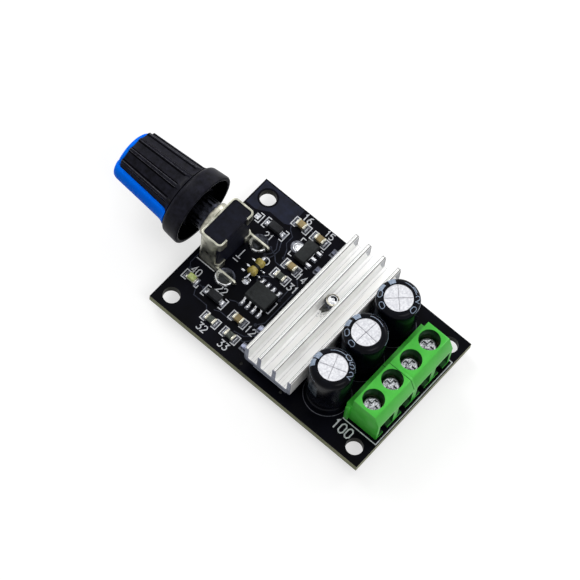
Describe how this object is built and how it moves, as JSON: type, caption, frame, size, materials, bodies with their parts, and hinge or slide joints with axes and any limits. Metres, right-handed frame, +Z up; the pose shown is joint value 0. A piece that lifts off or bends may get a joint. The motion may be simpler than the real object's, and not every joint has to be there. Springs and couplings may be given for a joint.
{
  "type": "motor speed controller module",
  "caption": "Open circuit board module with a turning knob, finned heat sink, upright capacitors and green screw terminals, for setting the speed of a small direct-current motor.",
  "frame": {"origin": "centre of the four mounting holes, on the underside of the circuit board", "axes": "+X along the board from the knob towards the terminals, +Z up out of the component side"},
  "size_m": [0.0684, 0.0318, 0.0177],
  "materials": {
    "board_mask": "glossy solder mask",
    "solder": "bright tin",
    "frame_steel": "tinned sheet",
    "bushing_metal": "die-cast",
    "black_housing": "moulded",
    "carbon_track": "printed carbon",
    "tinned_wire": "tinned",
    "shaft_metal": "milled",
    "rotor_plastic": "moulded",
    "wiper_brass": "stamped",
    "knob_black": "satin",
    "knob_blue": "satin",
    "sink_aluminium": "extruded",
    "sink_screw_nickel": "nickel plated",
    "thermal_sheet": "soft",
    "package_epoxy": "moulded",
    "package_tin": "matt tin",
    "can_aluminium": "drawn",
    "sleeve_film": "shrunk film",
    "bung_rubber": "moulded",
    "winding_paper": "wound paper and foil",
    "terminal_green": "moulded",
    "contact_brass": "tinned brass",
    "terminal_screw_nickel": "nickel plated",
    "clamp_steel": "zinc plated",
    "chip_epoxy": "moulded",
    "chip_tin": "bright tin",
    "led_base": "moulded",
    "led_lens": "clear resin",
    "capacitor_ceramic": "fired",
    "resistor_film": "glazed",
    "end_plating": "tin plated",
    "link_ceramic": "lacquered"
  },
  "bodies": {
    "board_assembly": {"circuit_board": "board_mask", "solder_joints": "solder", "pot_frame": "frame_steel", "pot_bushing": "bushing_metal", "pot_housing": "black_housing", "pot_track": "carbon_track", "pot_pins": "tinned_wire", "capacitor_leads_1": "tinned_wire", "capacitor_leads_2": "tinned_wire", "capacitor_leads_3": "tinned_wire", "link_leads": "tinned_wire", "heat_sink": "sink_aluminium", "heat_sink_screw": "sink_screw_nickel", "thermal_pad": "thermal_sheet", "transistor_body": "package_epoxy", "flyback_diode_body": "package_epoxy", "transistor_leads": "package_tin", "flyback_diode_leads": "package_tin", "capacitor_can_1": "can_aluminium", "capacitor_can_2": "can_aluminium", "capacitor_can_3": "can_aluminium", "capacitor_sleeve_1": "sleeve_film", "capacitor_sleeve_2": "sleeve_film", "capacitor_sleeve_3": "sleeve_film", "capacitor_bung_1": "bung_rubber", "capacitor_bung_2": "bung_rubber", "capacitor_bung_3": "bung_rubber", "capacitor_windings": "winding_paper", "terminal_housing_1": "terminal_green", "terminal_housing_2": "terminal_green", "terminal_contact_1": "contact_brass", "terminal_contact_2": "contact_brass", "terminal_contact_3": "contact_brass", "terminal_contact_4": "contact_brass", "controller_chip_body": "chip_epoxy", "regulator_body": "chip_epoxy", "diode_bodies": "chip_epoxy", "controller_chip_leads": "chip_tin", "regulator_leads": "chip_tin", "diode_leads": "chip_tin", "led_base": "led_base", "led_lens": "led_lens", "chip_capacitors": "capacitor_ceramic", "chip_resistors": "resistor_film", "chip_end_caps": "end_plating", "link_body": "link_ceramic"},
    "knob_and_shaft": {"knob_body": "knob_black", "knob_cap": "knob_blue", "pot_shaft": "shaft_metal", "pot_rotor": "rotor_plastic", "pot_wiper": "wiper_brass"},
    "clamp_1": {"wire_clamp_1": "clamp_steel"},
    "screw_1": {"terminal_screw_1": "terminal_screw_nickel"},
    "clamp_2": {"wire_clamp_2": "clamp_steel"},
    "screw_2": {"terminal_screw_2": "terminal_screw_nickel"},
    "clamp_3": {"wire_clamp_3": "clamp_steel"},
    "screw_3": {"terminal_screw_3": "terminal_screw_nickel"},
    "clamp_4": {"wire_clamp_4": "clamp_steel"},
    "screw_4": {"terminal_screw_4": "terminal_screw_nickel"}
  },
  "joints": [
    {"name": "knob_turn", "type": "hinge", "parent": "board_assembly", "child": "knob_and_shaft", "pos_m": [-0.0232, 0.0005, 0.00844], "axis": [1, 0, 0], "range_deg": [-218, 62]},
    {"name": "clamp_1_slide", "type": "slide", "parent": "board_assembly", "child": "clamp_1", "axis": [0, 0, 1], "range_m": [0, 0.002]},
    {"name": "screw_1_turn", "type": "hinge", "parent": "clamp_1", "child": "screw_1", "pos_m": [0.0198, -0.00722, 0.006], "axis": [0, 0, -1], "range_deg": [-1440, 0]},
    {"name": "clamp_2_slide", "type": "slide", "parent": "board_assembly", "child": "clamp_2", "axis": [0, 0, 1], "range_m": [0, 0.002]},
    {"name": "screw_2_turn", "type": "hinge", "parent": "clamp_2", "child": "screw_2", "pos_m": [0.0198, -0.00214, 0.006], "axis": [0, 0, -1], "range_deg": [-1440, 0]},
    {"name": "clamp_3_slide", "type": "slide", "parent": "board_assembly", "child": "clamp_3", "axis": [0, 0, 1], "range_m": [0, 0.002]},
    {"name": "screw_3_turn", "type": "hinge", "parent": "clamp_3", "child": "screw_3", "pos_m": [0.0198, 0.00294, 0.006], "axis": [0, 0, -1], "range_deg": [-1440, 0]},
    {"name": "clamp_4_slide", "type": "slide", "parent": "board_assembly", "child": "clamp_4", "axis": [0, 0, 1], "range_m": [0, 0.002]},
    {"name": "screw_4_turn", "type": "hinge", "parent": "clamp_4", "child": "screw_4", "pos_m": [0.0198, 0.00802, 0.006], "axis": [0, 0, -1], "range_deg": [-1440, 0]}
  ],
  "couplings": [
    {"joint": "screw_1_turn", "follows": "clamp_1_slide", "rad_per_m": -12566},
    {"joint": "screw_2_turn", "follows": "clamp_2_slide", "rad_per_m": -12566},
    {"joint": "screw_3_turn", "follows": "clamp_3_slide", "rad_per_m": -12566},
    {"joint": "screw_4_turn", "follows": "clamp_4_slide", "rad_per_m": -12566}
  ]
}
